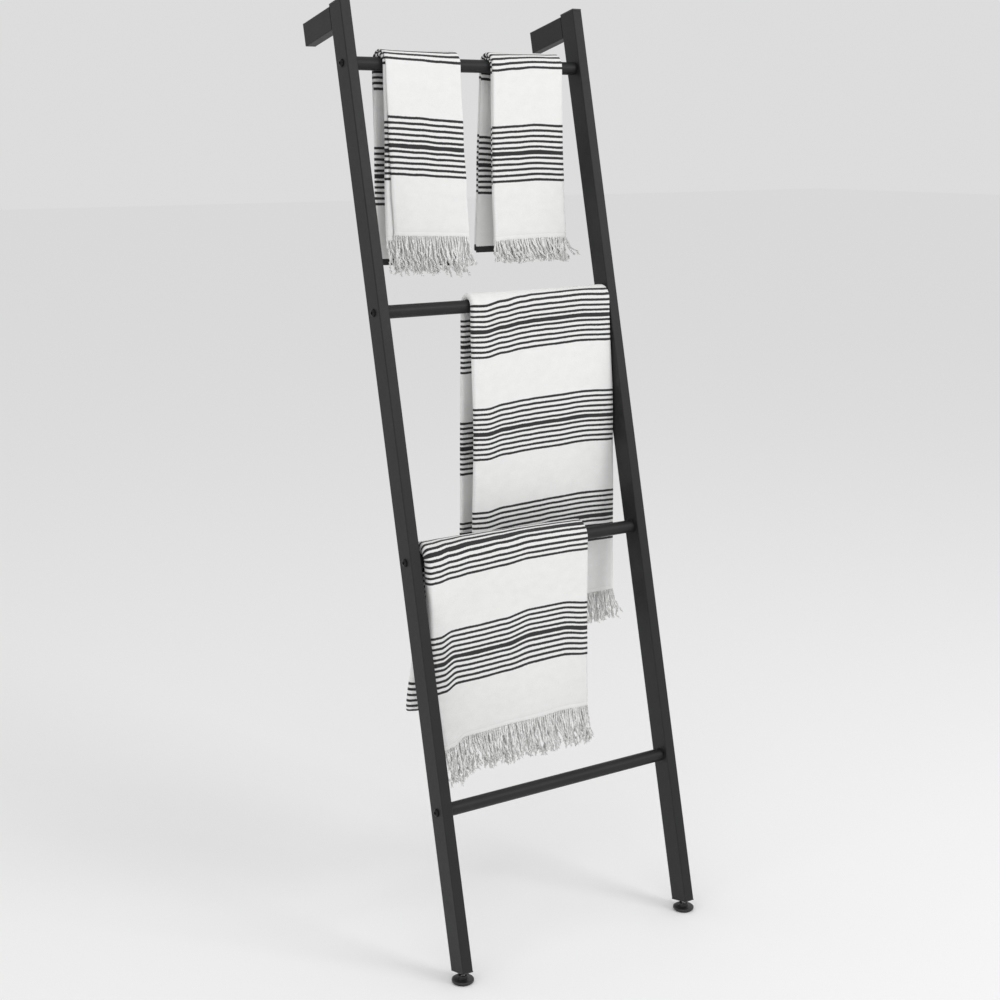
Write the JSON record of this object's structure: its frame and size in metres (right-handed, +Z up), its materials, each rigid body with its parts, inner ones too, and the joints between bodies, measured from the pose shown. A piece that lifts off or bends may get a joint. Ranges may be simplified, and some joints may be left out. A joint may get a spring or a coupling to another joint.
{
  "type": "leaning towel ladder with towels",
  "caption": "Black steel leaning towel ladder with wall arms, round rungs and swivel levelling feet, holding folded striped cotton towels with fringed ends.",
  "frame": {"origin": "on the floor, below the centre of the object's box", "axes": "+Z up; the front of the ladder faces -Y and it leans back towards +Y, where the wall is; +X is the ladder's right as seen from the front"},
  "size_m": [0.518, 0.5102, 1.6294],
  "materials": {
    "powder_coated_steel": "fine-textured matte black powder coat",
    "black_cap_plastic": "moulded, satin",
    "black_foot_plastic": "moulded, satin",
    "black_rubber": "matte",
    "zinc_plated_steel": "bright zinc plate",
    "blackened_screw_steel": "black oxide, satin",
    "towel_cotton": "woven cotton with charcoal weft stripes",
    "towel_fringe": "twisted cotton warp ends"
  },
  "bodies": {
    "frame": {"left_rail": "powder_coated_steel", "left_rail_top_cap": "black_cap_plastic", "left_foot_insert": "black_cap_plastic", "left_wall_arm": "powder_coated_steel", "left_wall_arm_cap": "black_cap_plastic", "right_rail": "powder_coated_steel", "right_rail_top_cap": "black_cap_plastic", "right_foot_insert": "black_cap_plastic", "right_wall_arm": "powder_coated_steel", "right_wall_arm_cap": "black_cap_plastic", "rung_1": "powder_coated_steel", "rung_1_left_plug": "zinc_plated_steel", "rung_1_left_screw": "blackened_screw_steel", "rung_1_right_plug": "zinc_plated_steel", "rung_1_right_screw": "blackened_screw_steel", "rung_2": "powder_coated_steel", "rung_2_left_plug": "zinc_plated_steel", "rung_2_left_screw": "blackened_screw_steel", "rung_2_right_plug": "zinc_plated_steel", "rung_2_right_screw": "blackened_screw_steel", "rung_3": "powder_coated_steel", "rung_3_left_plug": "zinc_plated_steel", "rung_3_left_screw": "blackened_screw_steel", "rung_3_right_plug": "zinc_plated_steel", "rung_3_right_screw": "blackened_screw_steel", "rung_4": "powder_coated_steel", "rung_4_left_plug": "zinc_plated_steel", "rung_4_left_screw": "blackened_screw_steel", "rung_4_right_plug": "zinc_plated_steel", "rung_4_right_screw": "blackened_screw_steel"},
    "left_foot_ball": {"left_foot_ball": "zinc_plated_steel"},
    "left_foot_stud": {"left_foot_stud": "zinc_plated_steel"},
    "left_foot_base": {"left_foot_base": "black_foot_plastic", "left_foot_pad": "black_rubber"},
    "right_foot_ball": {"right_foot_ball": "zinc_plated_steel"},
    "right_foot_stud": {"right_foot_stud": "zinc_plated_steel"},
    "right_foot_base": {"right_foot_base": "black_foot_plastic", "right_foot_pad": "black_rubber"},
    "hand_towel_left": {"hand_towel_left": "towel_cotton", "hand_towel_left_fringe": "towel_fringe"},
    "hand_towel_right": {"hand_towel_right": "towel_cotton", "hand_towel_right_fringe": "towel_fringe"},
    "bath_towel_upper": {"bath_towel_upper": "towel_cotton", "bath_towel_upper_fringe": "towel_fringe"},
    "bath_towel_lower": {"bath_towel_lower": "towel_cotton", "bath_towel_lower_fringe": "towel_fringe"}
  },
  "joints": [
    {"name": "left_foot_travel", "type": "slide", "parent": "frame", "child": "left_foot_ball", "axis": [0, -0.225, -0.9744], "range_m": [-0.002, 0.015]},
    {"name": "left_foot_spin", "type": "hinge", "parent": "left_foot_ball", "child": "left_foot_stud", "pos_m": [-0.24, -0.23617, 0.009], "axis": [0, -0.225, -0.9744], "range_deg": [-578, 4322]},
    {"name": "left_foot_tilt", "type": "hinge", "parent": "left_foot_ball", "child": "left_foot_base", "pos_m": [-0.24, -0.23617, 0.009], "axis": [1, 0, 0], "range_deg": [-28, 2]},
    {"name": "right_foot_travel", "type": "slide", "parent": "frame", "child": "right_foot_ball", "axis": [0, -0.225, -0.9744], "range_m": [-0.002, 0.015]},
    {"name": "right_foot_spin", "type": "hinge", "parent": "right_foot_ball", "child": "right_foot_stud", "pos_m": [0.24, -0.23617, 0.009], "axis": [0, -0.225, -0.9744], "range_deg": [-578, 4322]},
    {"name": "right_foot_tilt", "type": "hinge", "parent": "right_foot_ball", "child": "right_foot_base", "pos_m": [0.24, -0.23617, 0.009], "axis": [1, 0, 0], "range_deg": [-28, 2]},
    {"name": "hand_towel_left_slide", "type": "slide", "parent": "frame", "child": "hand_towel_left", "axis": [1, 0, 0], "range_m": [-0.04, 0.014]},
    {"name": "hand_towel_right_slide", "type": "slide", "parent": "frame", "child": "hand_towel_right", "axis": [1, 0, 0], "range_m": [-0.024, 0.027]},
    {"name": "bath_towel_upper_slide", "type": "slide", "parent": "frame", "child": "bath_towel_upper", "axis": [1, 0, 0], "range_m": [-0.15, 0]},
    {"name": "bath_towel_lower_slide", "type": "slide", "parent": "frame", "child": "bath_towel_lower", "axis": [1, 0, 0], "range_m": [0, 0.1]}
  ],
  "couplings": [
    {"joint": "left_foot_spin", "follows": "left_foot_travel", "rad_per_m": 5026.5},
    {"joint": "right_foot_spin", "follows": "right_foot_travel", "rad_per_m": 5026.5}
  ]
}
